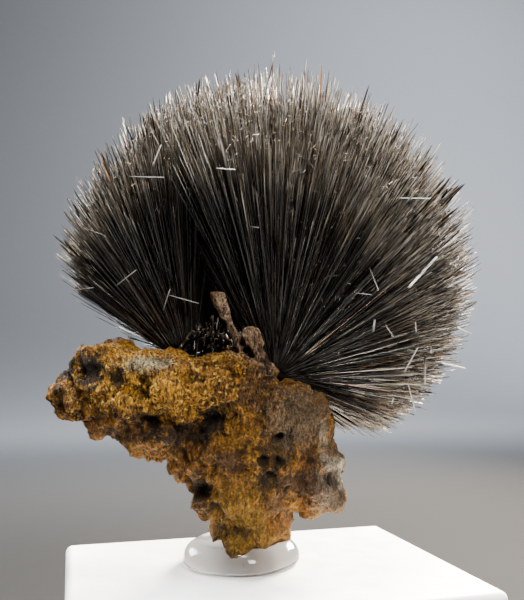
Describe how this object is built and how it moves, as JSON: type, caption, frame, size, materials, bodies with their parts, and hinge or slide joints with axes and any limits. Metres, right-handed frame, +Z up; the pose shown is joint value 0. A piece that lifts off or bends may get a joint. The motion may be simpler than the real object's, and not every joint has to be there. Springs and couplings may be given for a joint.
{
  "type": "pyrolusite crystal specimen",
  "caption": "Dark needle crystals fanning from a rusty limonite rock, fixed by a bead of clear adhesive on a small white display block that rests on its flat underside.",
  "frame": {"origin": "centre of the display block's flat underside", "axes": "+Z up, +X along the block's long edges to the right, -Y towards its front"},
  "size_m": [0.039, 0.0335, 0.057],
  "materials": {
    "acrylic": "white cast acrylic, satin with polished edges",
    "adhesive": "clear set adhesive, glossy",
    "limonite": "porous ochre and rust-brown limonite, dull",
    "pyrolusite": "black to steel-grey needles, submetallic, with frosted grey-brown tips"
  },
  "bodies": {
    "root": {"display_block": "acrylic", "adhesive_bead": "adhesive", "matrix": "limonite", "needle_spray": "pyrolusite"}
  },
  "joints": []
}
